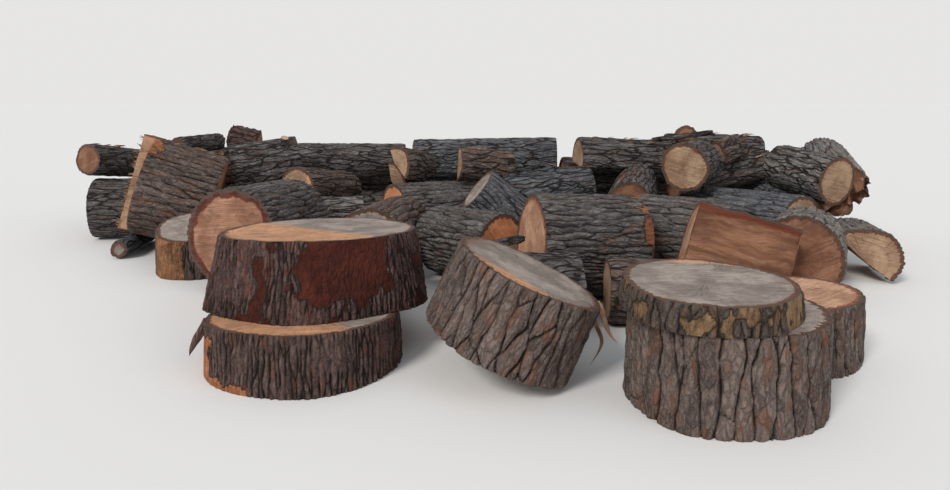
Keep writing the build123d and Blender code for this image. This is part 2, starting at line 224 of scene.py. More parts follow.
class Shape:
    """A log's own frame, the rims of its two ends, and its cut branches."""

    def __init__(self, points, triangles):
        corners = points[triangles]
        normals = np.cross(corners[:, 1] - corners[:, 0], corners[:, 2] - corners[:, 0])
        areas = np.linalg.norm(normals, axis=1) / 2
        keep = areas > 1e-9
        triangles, normals, areas = triangles[keep], normals[keep], areas[keep]
        normals = normals / (2 * areas[:, None])
        faces = flat_faces(triangles, normals)
        axis = pith_direction(points, triangles, areas, faces)
        self.set_frame(axis, points.mean(axis=0))
        kind, stubs = self.sort_faces(points, triangles, normals, faces)
        self.split = bool((kind == SPLIT).any())
        ends = [self.find_end(self.local(points), triangles, kind, upper) for upper in (False, True)]
        if ends[1][2] > ends[0][2]:
            ends.reverse()
            axis = -axis
        foot, head = (self.world(pith) for _, pith, _ in ends)
        self.set_frame(axis, foot)
        self.head_pith = self.local(head)
        self.rims = [self.rim_of(self.local(points[bark])) for bark, _, _ in ends]
        self.radius = ends[0][2]
        self.length = float(self.rims[1][2].mean() - self.rims[0][2].mean())
        self.arc = (self.rims[0][0][0], self.rims[0][0][-1]) if self.split else (0.0, FULL_TURN)
        self.tree = BVHTree.FromPolygons(self.local(points).tolist(), triangles.tolist())
        self.stubs = []
        for face in stubs:
            centre = self.local(points[np.unique(triangles[face])]).mean(axis=0)
            reach = math.sqrt(areas[face].sum() / math.pi)
            self.stubs.append((centre, self.turn(normals[face[0]]), reach))

    def set_frame(self, axis, origin):
        reference = np.array((0.0, -1.0, 0.0)) if abs(axis[2]) > 0.8 else np.array((0.0, 0.0, 1.0))
        x = reference - (reference @ axis) * axis
        x /= np.linalg.norm(x)
        self.basis = np.array([x, np.cross(axis, x), axis])
        self.origin = origin

    def local(self, points):
        return (points - self.origin) @ self.basis.T

    def turn(self, vector):
        return self.basis @ vector

    def world(self, points):
        return points @ self.basis + self.origin

    def sort_faces(self, points, triangles, normals, faces):
        """Which triangles are bark, split wood or sawn wood, and which faces end a cut branch."""
        placed = self.local(points)
        kind = np.zeros(len(triangles), dtype=int)
        stubs = []
        for face in faces:
            used = placed[np.unique(triangles[face])]
            normal = self.turn(normals[face[0]])
            width = np.ptp(used[:, :2] @ (-normal[1], normal[0])) / max(np.hypot(*normal[:2]), 1e-9)
            tall = np.ptp(used[:, 2])
            sideways = abs(normal[2]) < SIDEWAYS
            if sideways and len(used) >= ROUND_CORNERS and width < STUB_WIDTH and tall < STUB_HEIGHT:
                stubs.append(face)
            elif sideways and width <= BARK_FLAT:
                kind[face] = BARK
            elif sideways and tall > 0.5 * np.ptp(placed[:, 2]):
                kind[face] = SPLIT
            else:
                kind[face] = CUT
        return kind, stubs

    def find_end(self, placed, triangles, kind, upper):
        """The bark's points round one end, the pith there, and the mean radius."""
        flat, height = placed[:, :2], placed[:, 2]
        here = (height > (height.max() + height.min()) / 2) == upper
        bark = np.intersect1d(triangles[kind == BARK], triangles[kind == CUT])
        bark = bark[here[bark]]
        if self.split:
            torn = np.unique(triangles[kind == SPLIT])
            torn = torn[here[torn]]
            inner = np.setdiff1d(torn, bark)
            pith = flat[inner if len(inner) else np.intersect1d(torn, bark)].mean(axis=0)
        else:
            pith = circle_centre(flat[bark])
            out = np.linalg.norm(flat[bark] - pith, axis=1)
            bark = bark[out > 0.8 * np.median(out)]
        radius = np.linalg.norm(flat[bark] - pith, axis=1).mean()
        return bark, np.append(pith, height[bark].mean()), radius

    def rim_of(self, rim):
        """A rim's angles, radii and heights, in order round the log."""
        angle = np.arctan2(rim[:, 1], rim[:, 0])
        order = np.argsort(angle)
        angle, radius, height = angle[order], np.hypot(rim[order, 0], rim[order, 1]), rim[order, 2]
        if self.split:
            gaps = np.diff(np.append(angle, angle[0] + FULL_TURN))
            first = (int(gaps.argmax()) + 1) % len(angle)
            angle = np.roll(angle, -first)
            angle = np.where(angle < angle[0], angle + FULL_TURN, angle)
            radius, height = np.roll(radius, -first), np.roll(height, -first)
        return angle, radius, height

    def rim(self, end, angles):
        known, radius, height = self.rims[end]
        period = FULL_TURN
        if self.split:
            share = (angles - self.arc[0]) / (self.arc[1] - self.arc[0])
            angles = known[0] + share * (known[-1] - known[0])
            period = None
        return (np.interp(angles, known, radius, period=period),
                np.interp(angles, known, height, period=period))


# Building a log's mesh

def in_scene(name, data):
    """A new object in the scene."""
    obj = bpy.data.objects.new(name, data)
    bpy.context.scene.collection.objects.link(obj)
    return obj


class Builder:
    """Collects grids of points into one mesh, with what the materials read at each point."""

    NUMBERS = ("top", "tone", "bare", "rim")

    def __init__(self):
        self.points, self.quads, self.slots = [], [], []
        self.values = {name: [] for name in ("grain", "place", *self.NUMBERS)}
        self.count = 0

    def add(self, shape, grid, slot, shift, closed=False, flip=False, **values):
        rows, columns = grid.shape[:2]
        flat = grid.reshape(-1, 3)
        self.points.append(shape.world(flat))
        self.values["grain"].append(flat)
        self.values["place"].append(flat + shift)
        for name in self.NUMBERS:
            self.values[name].append(np.broadcast_to(values.get(name, 0.0), (rows, columns)).reshape(-1))
        index = self.count + np.arange(rows * columns).reshape(rows, columns)
        if closed:
            index = np.column_stack([index, index[:, :1]])
        corners = [index[:-1, :-1], index[:-1, 1:], index[1:, 1:], index[1:, :-1]]
        if flip:
            corners.reverse()
        quads = np.stack(corners, axis=-1).reshape(-1, 4)
        self.quads.append(quads)
        self.slots.append(np.full(len(quads), slot))
        self.count += rows * columns

    def finish(self, name, materials):
        mesh = bpy.data.meshes.new(name)
        mesh.from_pydata(np.concatenate(self.points), [], np.concatenate(self.quads))
        mesh.polygons.foreach_set("material_index", np.concatenate(self.slots).astype(np.int32))
        for key, parts in self.values.items():
            data = np.concatenate(parts).astype(np.float32)
            vector = data.ndim == 2
            attribute = mesh.attributes.new(key, "FLOAT_VECTOR" if vector else "FLOAT", "POINT")
            attribute.data.foreach_set("vector" if vector else "value", data.ravel())
        for material in materials:
            mesh.materials.append(material)
        mesh.update()
        mesh.validate()
        mesh.shade_smooth()
        return in_scene(name, mesh)


# Bark: furrows between its plates, fine scales on them, and patches where it has come off
SWAY, SHIVER, DRIFT = 0.045, 0.013, 0.1  # how far the three wanders shift the plates
SCALE_SHARE = (0.45, 0.24)  # a scale's width and height as shares of a plate's
FURROW_HALF = (0.0105, 0.014)  # least and greatest half width of a furrow
CROSS_DEPTH = 0.3  # depth of a furrow across the log, as a share
FULL_DEPTH_STEP = 0.011  # furrows get shallower on grids coarser than this
CRACK_HALF, CRACK_DEPTH = 0.006, 0.0028  # the gaps between scales
ROUGHNESS = 0.008  # how far the bark's broken surface rises and falls
TONE_LIFT = (0.005, 0.004)  # how far plates and scales differ in height
SKIN, INNER_DEPTH = 0.004, 0.015  # how far in plates and inner bark lie
PATCH_LOG = 0.4  # length of log that a patch's height shares stand for
PATCH_EDGE = 0.006  # width of the step round a bare patch
WORN, WORN_WIDTH = 0.004, 0.014  # the bark's worn edge at a sawn end
TEAR = 0.035  # how far a split piece's bark is torn back


def degrees_from(angles, middle):
    return (np.degrees(angles) - middle + 180) % 360 - 180


def bare_share(spots, angles, share, salt, look, radius):
    """Where the outer bark is missing, from 0 to 1."""
    bare = np.zeros(spots.shape[:-1])
    border = bumps("border", spots, salt) - 0.5
    for first, last, low, high in look.get("bare", ()):
        off = np.abs(degrees_from(angles, (first + last) / 2)) - (last - first) / 2
        beyond = np.radians(off) * radius
        if low > 0:
            beyond = np.maximum(beyond, (low - share) * PATCH_LOG)
        if high < 1:
            beyond = np.maximum(beyond, (share - high) * PATCH_LOG)
        bare = np.maximum(bare, smooth((border * 0.13 - beyond) / PATCH_EDGE))
    if "patchy" in look:
        scattered = bumps("spots", spots, salt) - look["patchy"] + border * 0.16
        bare = np.maximum(bare, smooth(scattered / 0.03))
    return bare


def bark_relief(spots, angles, height, share, salt, look, radius, step):
    """How far the bark lies in from the CAD surface, and what its material reads."""
    width, tall, deep = look["plate"]
    sway, shiver, drift, ragged = (bumps(name, spots, salt) - 0.5
                                   for name in ("sway", "shiver", "drift", "ragged"))
    around = angles * radius + SWAY * sway + SHIVER * shiver
    along = height + DRIFT * drift
    girth = FULL_TURN * radius
    gap, lengthwise, tone = plates(around, along, girth, width, tall, salt + 20)
    scale_size = (width * SCALE_SHARE[0], tall * SCALE_SHARE[1])
    scale_gap, _, scale_tone = plates(around, along, girth, *scale_size, salt + 40)
    half = np.clip(1.35 * step, *FURROW_HALF)
    fading = smooth((bumps("fading", spots, salt) - 0.3) / 0.25)
    steady = min(0.85, 0.25 + 7 * width)
    reach = CROSS_DEPTH + (1 - CROSS_DEPTH) * smooth(lengthwise * 1.3)
    reach = reach * (steady + (1 - steady) * fading) * min(1, FULL_DEPTH_STEP / step)
    groove = (1 - smooth((gap + 0.008 * ragged) / half)) * reach
    shoulder = (1 - smooth(gap / (0.42 * width))) * reach
    crack = 1 - smooth((scale_gap + 0.004 * ragged) / max(CRACK_HALF, step))
    inward = SKIN + deep * (0.72 * groove + 0.28 * shoulder) + CRACK_DEPTH * crack - ROUGHNESS * ragged
    inward = inward + TONE_LIFT[0] * tone + TONE_LIFT[1] * scale_tone
    for middle, wide, depth in look.get("flutes", ()):
        off = np.radians(np.abs(degrees_from(angles, middle) + 5 * sway)) * radius
        carved = 1 - smooth(off / wide)
        inward, groove = inward + depth * carved, np.maximum(groove, carved)
    bare = bare_share(spots, angles, share, salt, look, radius)
    inner = INNER_DEPTH + 0.005 * (bumps("fibres", spots, salt) - 0.5) + 0.004 * (tone - 0.5)
    inward = inward * (1 - bare) + inner * bare
    # 'top' is low in the furrows and in the cracks between scales, where the bark material paints shade
    top = (1 - groove) * (1 - 0.14 * crack)
    return inward, {"top": top, "tone": 0.6 * tone + 0.4 * scale_tone, "bare": bare}


def build_log(builder, shape, look, salt):
    """Bark, saw cuts and split faces of one log, as grids."""
    step = GRID[look["detail"]]
    shift = np.array([(salt * 7919 % 97), (salt * 104729 % 89), (salt * 1299709 % 83)], dtype=float)
    start, stop = shape.arc
    columns = max(16, int(round((stop - start) * shape.radius / step)))
    rows = max(8, int(round(shape.length / (step * LENGTHWISE))))
    angles = np.linspace(start, stop, columns, endpoint=shape.split)
    (low_radius, low_height), (high_radius, high_height) = shape.rim(0, angles), shape.rim(1, angles)
    share = np.linspace(0, 1, rows + 1)[:, None]
    radius = low_radius * (1 - share) + high_radius * share
    height = low_height * (1 - share) + high_height * share
    turn = np.broadcast_to(angles, radius.shape)
    if shape.split:
        along, flat = share * 9, share * 0
        first, last = (bumps("tear", np.stack([along, flat, flat + k], axis=-1), salt) for k in (0, 5))
        torn = (first * (stop - turn) - last * (turn - start)) / (stop - start)
        turn = turn + TEAR / shape.radius * torn
    spots = np.stack([radius * np.cos(turn), radius * np.sin(turn), height], axis=-1)
    inward, values = bark_relief(spots, turn, height, share, salt, look, shape.radius, step)
    from_end = np.minimum(share, 1 - share) * shape.length
    worn = WORN * (1 - smooth(from_end / WORN_WIDTH))
    if shape.split:
        edge = np.minimum(turn - start, stop - turn) * shape.radius
        inward = inward * smooth(edge / 0.02)
    out = radius - inward - worn
    bark = np.stack([out * np.cos(turn), out * np.sin(turn), height], axis=-1)
    builder.add(shape, bark, 0, shift, closed=not shape.split, **values)

    for end in (0, 1):
        build_cut(builder, shape, look, salt, shift, end, bark[-end], step)
    if shape.split:
        build_split(builder, shape, salt, shift, bark[:, 0], step, 1)
        build_split(builder, shape, salt, shift, bark[:, -1], step, -1)
    for stub in shape.stubs:
        build_stub(builder, shape, shift, salt, stub)
    for corner, slot, wide, offsets in look.get("hanging", ()):
        rims = np.concatenate([shape.world(bark[0]), shape.world(bark[-1])])
        path = rims[(rims @ corner).argmax()] + np.array(offsets)
        build_strip(builder, shape, shift, shape.local(path), shape.turn(STRIP_ACROSS), wide, slot)
    for where, count, length in look.get("splinters", ()):
        build_splinters(builder, shape, shift, np.random.default_rng(salt), where, count, length)


# Sawn ends
UNEVEN = 0.02  # an end whose rim leaves its plane by more than this follows the solid
BORDER = 0.045  # width of the border drawn as finely as the bark
LEDGE_DEPTH, DENT_DEPTH = 0.006, 0.005
SAW_TURN = 2.399  # the saw's direction turns by this from one log to the next
RAGGED = {"warm": 0.18, "stained": 0.6}  # how ragged a side's border is, in radii


def side_share(name, spots, look, salt, radius):
    """How far a sawn end has a painted sunlit side or a stained side: the look gives the side as (angle,
    from, over).
    """
    if name not in look:
        return 0.0
    angle, start, over = look[name]
    angle = math.radians(angle)
    towards = spots[..., 0] * math.cos(angle) + spots[..., 1] * math.sin(angle)
    ragged = RAGGED[name] * (bumps(name, spots, salt) - 0.5)
    return smooth((towards / radius + ragged - start) / over)


def build_cut(builder, shape, look, salt, shift, end, edge, step):
    """A sawn end: a fine border that follows the bark, and a coarser middle."""
    sign = 1 if end else -1
    plane = np.column_stack([edge[:, :2], np.ones(len(edge))])
    slope = np.linalg.lstsq(plane, edge[:, 2], rcond=None)[0]
    uneven = np.abs(edge[:, 2] - plane @ slope).max() > UNEVEN
    coarse = 1 if uneven else 4
    saw = (salt * SAW_TURN) % math.pi

    def surface(x, y, share, reach):
        z = slope[0] * x + slope[1] * y + slope[2]
        if uneven:
            for spot in np.ndindex(z.shape):
                beyond = Vector((x[spot], y[spot], sign * 5))
                hit = shape.tree.ray_cast(beyond, Vector((0, 0, -sign)))[0]
                if hit is not None:
                    z[spot] = hit.z
        across = x * math.cos(saw) + y * math.sin(saw)
        ledge_at = np.stack([across / 0.06, np.full_like(x, salt), (x + y) / 1.2], axis=-1)
        ledges = layered(ledge_at, salt + 31) - 0.5
        dents = bumps("dents", np.stack([x, y, np.zeros_like(x)], axis=-1), salt) - 0.5
        fade = smooth((1 - share) * reach / 0.02)
        return z + sign * (LEDGE_DEPTH * ledges + DENT_DEPTH * dents) * fade

    def add(spots, share, reach):
        # Painted sunlight on one side of the end; on the felled log its hinge strip instead
        warm = side_share("warm", spots, look, salt, shape.radius)
        if "strip" in look and not end:
            warm = smooth((look["strip"] - np.abs(spots[..., 1])) / 0.006)
        stained = side_share("stained", spots, look, salt, shape.radius)
        builder.add(shape, spots, 1, shift, closed=not shape.split, flip=not end,
                    rim=(1 - share) * reach, top=1.0, tone=warm, bare=stained)

    reach = np.hypot(edge[:, 0], edge[:, 1])
    inner = 1 - BORDER / shape.radius
    share = np.linspace(1, inner, 5)[:, None]
    x, y = edge[:, 0] * share, edge[:, 1] * share
    z = surface(x, y, share, reach)
    z[0] = edge[:, 2]
    kept = np.arange(0, len(edge), coarse)
    if shape.split:
        kept = np.unique(np.append(kept, len(edge) - 1))
    period = None if shape.split else len(edge)
    for row in (x, y, z):
        row[-1] = np.interp(np.arange(len(edge)), kept, row[-1][kept], period=period)
    border = np.stack([x, y, z], axis=-1)
    add(border, share, reach)

    ring_step = 0.012 if uneven else max(0.03, 2 * step)
    rings = max(6, int(round(shape.radius / ring_step)))
    share = (inner * np.linspace(1, 0, rings + 1))[:, None]
    x, y = edge[kept, 0] * share, edge[kept, 1] * share
    z = surface(x, y, share, reach[kept])
    disc = np.stack([x, y, z], axis=-1)
    disc[0] = border[-1][kept]
    add(disc, share, reach[kept])


# Split faces, cut branches, strips and splinters
STRAND_DEPTH, SWELL_DEPTH = 0.016, 0.045
STUB_ROOT = 0.11  # a cut branch starts this far inside the log
STRIP_ACROSS = np.array((0.0, 1.0, 0.2))  # hanging strips show their flat side to the front
STRIP_THICK = 0.4  # thickness of a strip as a share of its width


def build_split(builder, shape, salt, shift, edge, step, side):
    """A split face, torn along the grain, from the pith out to the bark."""
    reach = float(np.hypot(edge[:, 0], edge[:, 1]).mean())
    share = np.linspace(0, 1, max(6, int(round(reach / step))) + 1)
    height = edge[:, 2]
    pith = [np.interp(height, (0, shape.length), (0, head)) for head in shape.head_pith[:2]]
    pith = np.stack([*pith, height], axis=-1)
    grid = pith[:, None] * (1 - share[:, None]) + edge[:, None] * share[:, None]
    outward = np.cross(edge.mean(axis=0) - pith.mean(axis=0), (0, 0, side))
    outward = outward / np.linalg.norm(outward)
    strands = bumps("strands", grid, salt) + 0.5 * bumps("ridges", grid, salt) - 0.75
    swell = bumps("swell", grid, salt) - 0.7
    fade = smooth(share * (1 - share) * 8)
    grid = grid + outward * ((STRAND_DEPTH * strands + SWELL_DEPTH * swell) * fade)[..., None]
    rim = (1 - share) * reach
    builder.add(shape, grid, 2, shift, flip=side < 0, rim=rim, top=strands + 0.5, tone=strands)


def build_stub(builder, shape, shift, salt, stub):
    """A cut branch that stands out of the bark."""
    centre, outward, reach = stub
    across = np.cross(outward, (0, 0, 1))
    across /= np.linalg.norm(across)
    upward = np.cross(outward, across)
    angles = np.linspace(0, FULL_TURN, 32, endpoint=False)[:, None]
    circle = np.cos(angles) * across + np.sin(angles) * upward
    depth = np.linspace(-STUB_ROOT, 0, 9)
    flare = 1 + 0.35 * smooth(-depth / 0.09)
    grid = centre + depth[:, None, None] * outward + circle[None] * (reach * flare)[:, None, None]
    dent = 0.006 * (bumps("stub", grid, salt) - 0.5)
    grid = grid + circle[None] * dent[..., None]
    builder.add(shape, grid, 0, shift, closed=True, top=0.8, tone=dent * 80 + 0.5)
    face = centre + circle[None] * (reach * np.linspace(1, 0, 5))[:, None, None]
    builder.add(shape, face, 1, shift, closed=True, rim=0.2, top=1.0, tone=0.5)


def build_strip(builder, shape, shift, points, across, wide, slot):
    """A torn strip that follows a smooth path through the points and tapers to its tip."""
    along = np.linspace(0, 1, 15)
    known = np.linspace(0, 1, len(points))
    curves = [np.polyfit(known, column, min(3, len(points) - 1)) for column in points.T]
    path = np.stack([np.polyval(curve, along) for curve in curves], axis=-1)
    run = np.gradient(path, axis=0)
    run /= np.linalg.norm(run, axis=1)[:, None]
    flat = np.cross(run, across)
    flat /= np.linalg.norm(flat, axis=1)[:, None]
    taper = 1 - (2 * along - 0.7).clip(0) ** 2 / 1.69
    half = wide * taper * (1 + 0.35 * (noise(path / 0.03, 7) - 0.5))
    angles = np.linspace(0, FULL_TURN, 8, endpoint=False)[:, None]
    ring = np.cos(angles) * flat[:, None] + STRIP_THICK * np.sin(angles) * np.cross(run, flat)[:, None]
    grid = path[:, None] + half[:, None, None] * ring
    builder.add(shape, grid, slot, shift, closed=True, rim=0.2, top=1.0, tone=0.7)


def build_splinters(builder, shape, shift, dice, where, count, length):
    """Splinters on the broken strip, on the thick end, or torn bark and wood along the log's top."""
    lying = where == "top"
    for _ in range(count):
        reach, angle = shape.radius * 0.95 * math.sqrt(dice.random()), dice.uniform(0, FULL_TURN)
        spot, inward = Vector((reach * math.cos(angle), reach * math.sin(angle), -3)), Vector((0, 0, 1))
        if where == "strip":
            spot = Vector((dice.uniform(-0.9, 0.9) * shape.radius, dice.uniform(-0.017, 0.017), -3))
        if lying:
            angle = dice.uniform(-0.7, 0.7)
            inward = Vector((-math.cos(angle), -math.sin(angle), 0))
            spot = -3 * inward + Vector((0, 0, dice.uniform(0.04, 0.9) * shape.length))
        root = shape.tree.ray_cast(spot, inward)[0]
        if root is None:
            continue
        outward = -np.array(inward)
        root = np.array(root) - 0.01 * outward
        if lying:
            direction = 0.16 * outward + (0, 0, 1)
        else:
            dice.normal(0, 1, 2)  # these two draws only keep the later ones as they are
            direction = outward + dice.normal(0, 0.25, 3)
        run = direction / np.linalg.norm(direction) * length * dice.uniform(0.35, 1)
        bend = outward * length * dice.uniform(0.0, 0.12)
        points = np.stack([root, root + 0.5 * run + bend, root + run])
        across = np.cross(run, outward if lying else dice.normal(0, 1, 3))
        wide = length * dice.uniform(0.05, 0.11)
        build_strip(builder, shape, shift, points, np.cross(across, run), wide, 2)


# Materials

# Near-black painted shade for the bark's furrows and cracks, and for the step round bare patches
FURROW_SHADE = (0.016, 0.012, 0.01)
RIM_BARK = (0.105, 0.068, 0.053)
LICHEN = (0.24, 0.25, 0.25)
STAINED = (0.15, 0.06, 0.04)
INNER_RIM = (0.17, 0.045, 0.024)
YEAR_RING = 0.011       # thickness of a ring in the sawn wood


def toned(colour, share, lift=0.0):
    """A colour made darker or lighter."""
    return tuple(min(1, c * share + lift) for c in colour)


def add_node(tree, kind, inputs, output=0, **settings):
    """One output of a new shader node, with values or links at its inputs."""
    node = tree.nodes.new(kind)
    for key, value in settings.items():
        setattr(node, key, value)
    for key, value in inputs.items():
        if isinstance(value, bpy.types.NodeSocket):
            tree.links.new(value, node.inputs[key])
        else:
            node.inputs[key].default_value = value
    return node.outputs[output]


class Paint:
    """A small helper for building a material's nodes."""

    def __init__(self, name, roughness):
        self.material = bpy.data.materials.new(name)
        self.material.use_nodes = True
        self.tree = self.material.node_tree
        self.shader = self.tree.nodes["Principled BSDF"]
        self.shader.inputs["Roughness"].default_value = roughness
        self.shader.inputs["Specular IOR Level"].default_value = 0.25

    def node(self, kind, inputs, output=0, **settings):
        return add_node(self.tree, kind, inputs, output, **settings)

    def read(self, name, output="Fac"):
        """What each point of the mesh carries under a name."""
        return self.node("ShaderNodeAttribute", {}, output, attribute_name=name)

    def math(self, operation, *values):
        return self.node("ShaderNodeMath", dict(enumerate(values)), operation=operation)

    def times(self, a, b):
        return self.math("MULTIPLY", a, b)

    def weighted(self, *parts):
        """The sum of some values, each times its weight."""
        total = 0.0
        for value, weight in parts:
            total = self.math("MULTIPLY_ADD", value, weight, total)
        return total

    def ramp(self, value, low, high):
        return self.node("ShaderNodeMapRange", {"Value": value, "From Min": low, "From Max": high},
                         interpolation_type="SMOOTHSTEP")

    def vector_math(self, operation, *vectors, output=0):
        return self.node("ShaderNodeVectorMath", dict(enumerate(vectors)), output, operation=operation)

    def scaled(self, vector, scale):
        return self.node("ShaderNodeMapping", {"Vector": vector, "Scale": scale})

    def turned(self, vector, angle):
        return self.node("ShaderNodeMapping", {"Vector": vector, "Rotation": (0, 0, angle)})

    def bent(self, vector, scale, reach):
        """Places shifted by a broad noise, so that what is drawn there wavers."""
        wander = self.node("ShaderNodeTexNoise", {"Vector": vector, "Scale": scale, "Detail": 2.0},
                           output="Color")
        return self.vector_math("MULTIPLY_ADD", wander, reach, vector)

    def noise(self, vector, scale, detail=4.0, roughness=0.6):
        """Noise with one scale, or with one for each direction."""
        if isinstance(scale, tuple):
            vector, scale = self.scaled(vector, scale), 1.0
        return self.node("ShaderNodeTexNoise", {"Vector": vector, "Scale": scale, "Detail": detail,
                                                "Roughness": roughness})

    def edges(self, vector):
        """Distance to the nearest border between irregular cells."""
        return self.node("ShaderNodeTexVoronoi", {"Vector": vector, "Scale": 1.0}, feature="DISTANCE_TO_EDGE")

    def cells(self, vector):
        """A random value for each irregular cell."""
        cell = self.node("ShaderNodeTexVoronoi", {"Vector": vector, "Scale": 1.0}, output="Color")
        return self.node("ShaderNodeSeparateColor", {"Color": cell}, output="Red")

    def mix(self, share, a, b):
        a = a if isinstance(a, bpy.types.NodeSocket) else (*a, 1)
        b = b if isinstance(b, bpy.types.NodeSocket) else (*b, 1)
        return self.node("ShaderNodeMix", {0: share, 6: a, 7: b}, output=2, data_type="RGBA")

    def over(self, colour, share, strength, other):
        """Another colour laid over part of this one."""
        return self.mix(self.times(share, strength), colour, other)

    def done(self, colour, height, distance):
        bump = self.node("ShaderNodeBump", {"Height": height, "Distance": distance, "Strength": 1.0})
        self.tree.links.new(colour, self.shader.inputs["Base Color"])
        self.tree.links.new(bump, self.shader.inputs["Normal"])
        return self.material


def bark_material(name, dark, light, red, inner_dark, inner_light, lichen=0.0, cracked=False):
    """Scaly bark with painted shade in its furrows and cracks, and inner bark where the outer bark is gone,
    with a painted shadow along the patches' edges.
    """
    paint = Paint(name, 0.93)
    place = paint.read("place", "Vector")
    bent = paint.bent(place, 9.0, (0.05, 0.05, 0.1))
    fine = paint.noise(place, (120, 120, 80), 6.0, 0.8)
    medium = paint.noise(place, (34, 34, 20))
    broad = paint.noise(place, 4.0, 3.0)
    flecks = paint.ramp(paint.noise(place, 260.0, 2.0), 0.62, 0.72)
    flake_at = paint.scaled(bent, (38, 38, 15))
    flakes = paint.ramp(paint.edges(flake_at), 0.0, 0.24)
    flake_tone = paint.cells(flake_at)

    scale = paint.weighted((paint.read("tone"), 0.22), (fine, 0.85), (flake_tone, 0.12), (medium, 0.35))
    colour = paint.mix(paint.ramp(scale, 0.56, 0.98), dark, light)
    streak = paint.noise(place, (17, 17, 6))
    colour = paint.over(colour, paint.ramp(streak, 0.52, 0.68), 0.75, red)
    colour = paint.over(colour, flecks, 0.45, toned(light, 1.8))
    if lichen:
        colour = paint.over(colour, paint.ramp(broad, 0.48, 0.68), lichen, LICHEN)
    # Painted shade in the gaps between the flakes
    colour = paint.over(colour, paint.math("SUBTRACT", 1.0, flakes), 0.3, toned(dark, 0.5))
    # Painted shade: near-black where 'top' is low, in the furrows and between the scales, and on far bark
    # also in cracks drawn by the shader
    outside_painted_shade = paint.ramp(paint.read("top"), 0.05, 0.78)
    height = paint.weighted((fine, 0.45), (flakes, 0.45), (medium, 0.5), (flake_tone, 0.35))
    if cracked:
        cracks = paint.ramp(paint.edges(paint.scaled(bent, (19, 19, 3))), 0.0, 0.11)
        outside_painted_shade = paint.times(outside_painted_shade, cracks)
        height = paint.math("ADD", height, cracks)
    colour = paint.mix(outside_painted_shade, FURROW_SHADE, colour)

    streaks, blotches = paint.noise(place, (45, 45, 9)), paint.noise(place, 30.0, 5.0, 0.7)
    mottle = paint.weighted((streaks, 0.45), (blotches, 0.55))
    inner = paint.mix(paint.ramp(mottle, 0.38, 0.62), inner_dark, inner_light)
    inner = paint.over(inner, paint.ramp(medium, 0.52, 0.64), 0.5, inner_dark)
    inner = paint.over(inner, flecks, 0.4, toned(inner_light, 2.5, 0.03))
    inner = paint.over(inner, paint.ramp(broad, 0.46, 0.62), 0.5, toned(inner_light, 1.6))
    bare = paint.read("bare")
    # A painted shadow: a dark line along the step round each bare patch
    patch_edge_shadow = paint.times(bare, paint.math("SUBTRACT", 1.0, bare))
    colour = paint.mix(bare, colour, inner)
    colour = paint.over(colour, patch_edge_shadow, 3.2, FURROW_SHADE)
    return paint.done(colour, height, 0.016 if cracked else 0.015)


